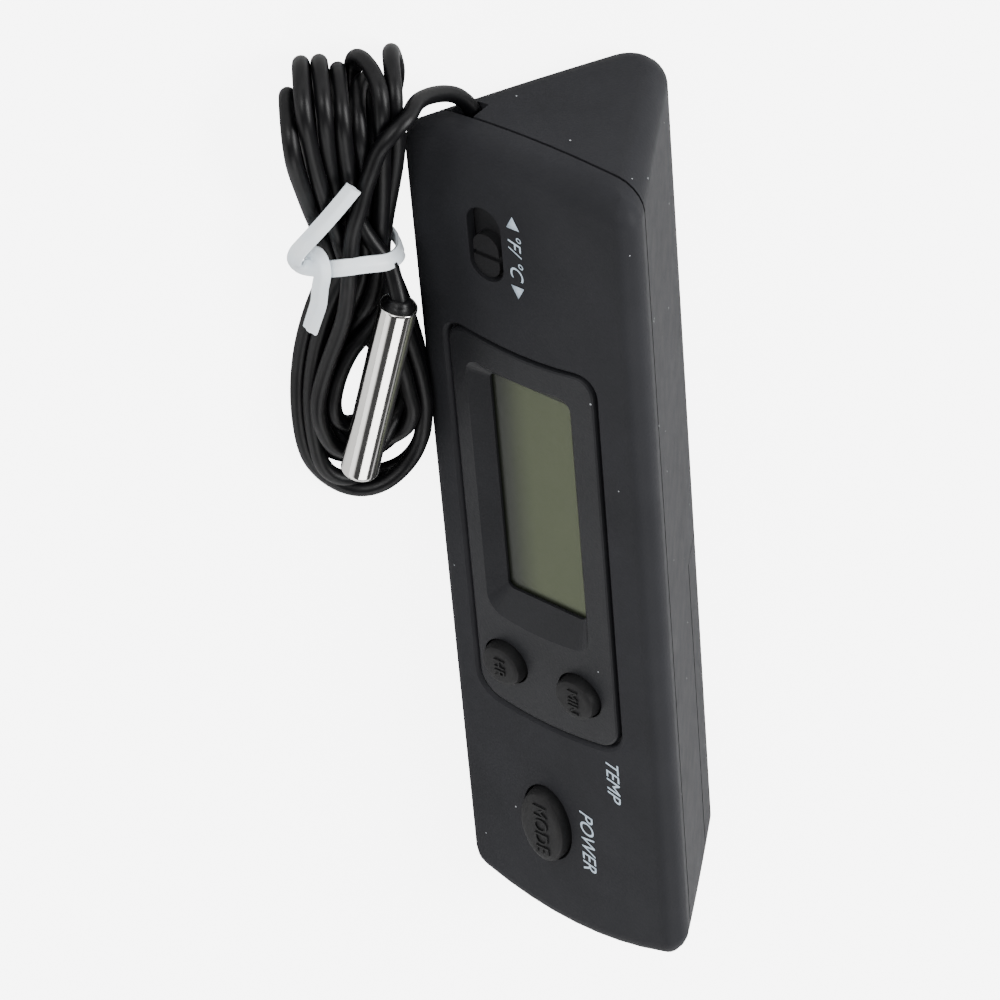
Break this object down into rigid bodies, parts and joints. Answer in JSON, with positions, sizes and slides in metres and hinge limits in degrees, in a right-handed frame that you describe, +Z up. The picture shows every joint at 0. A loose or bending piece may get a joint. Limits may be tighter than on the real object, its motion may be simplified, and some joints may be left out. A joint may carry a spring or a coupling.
{
  "type": "digital thermometer",
  "caption": "Wedge-shaped digital thermometer with a recessed display, push buttons, a unit slide switch and a steel probe on a tied lead.",
  "frame": {"origin": "centre of the case's footprint, on the surface that its lower long side lies on", "axes": "+X along the case towards the end with the oval button, +Z up, display face tilted up towards -Y; the tied lead lies on the -Y side"},
  "size_m": [0.1226, 0.0453, 0.0267],
  "materials": {
    "case_plastic": "fine matt texture",
    "panel_plastic": "fine matt texture",
    "button_rubber": "matt",
    "knob_plastic": "matt",
    "lcd_glass": "satin",
    "white_plastic": "matt",
    "silicone": "matt",
    "board": "satin",
    "epoxy": "gloss",
    "bright_steel": "bright",
    "switch_metal": "satin",
    "cell_label": "gloss",
    "clamp_plastic": "matt",
    "lead_jacket": "satin",
    "tie_plastic": "satin",
    "probe_steel": "polished"
  },
  "bodies": {
    "case": {"front_shell": "case_plastic", "rear_shell": "case_plastic", "display_panel": "panel_plastic", "lcd_cell": "lcd_glass", "lcd_holder": "white_plastic", "zebra_strip": "silicone", "circuit_board": "board", "chip_blob": "epoxy", "clock_crystal": "bright_steel", "air_sensor": "epoxy", "hour_switch": "switch_metal", "minute_switch": "switch_metal", "mode_switch": "switch_metal", "unit_switch": "switch_metal", "battery_cell": "cell_label", "battery_spring": "bright_steel", "negative_plate": "bright_steel", "positive_plate": "bright_steel", "case_screw_1": "bright_steel", "case_screw_2": "bright_steel", "board_screw_1": "bright_steel", "board_screw_2": "bright_steel", "cable_clamp": "clamp_plastic", "sensor_lead": "lead_jacket", "lead_hank": "lead_jacket", "twist_tie": "tie_plastic", "probe_cap": "probe_steel", "probe_bead": "epoxy", "probe_sleeve": "lead_jacket"},
    "hour_button": {"hour_button": "button_rubber"},
    "minute_button": {"minute_button": "button_rubber"},
    "mode_button": {"mode_button": "button_rubber"},
    "unit_knob": {"unit_knob": "knob_plastic"},
    "battery_cover": {"battery_cover": "case_plastic"}
  },
  "joints": [
    {"name": "hour_button_press", "type": "slide", "parent": "case", "child": "hour_button", "axis": [0, 0.866, -0.5], "range_m": [0, 0.0008], "stiffness_N_per_m": 60, "springref_m": -0.0008},
    {"name": "minute_button_press", "type": "slide", "parent": "case", "child": "minute_button", "axis": [0, 0.866, -0.5], "range_m": [0, 0.0008], "stiffness_N_per_m": 60, "springref_m": -0.0008},
    {"name": "mode_button_press", "type": "slide", "parent": "case", "child": "mode_button", "axis": [0, 0.866, -0.5], "range_m": [0, 0.0008], "stiffness_N_per_m": 60, "springref_m": -0.0008},
    {"name": "unit_knob_slide", "type": "slide", "parent": "case", "child": "unit_knob", "axis": [-1, 0, 0], "range_m": [0, 0.0034]},
    {"name": "battery_cover_slide", "type": "slide", "parent": "case", "child": "battery_cover", "axis": [1, 0, 0], "range_m": [0, 0.05]}
  ]
}
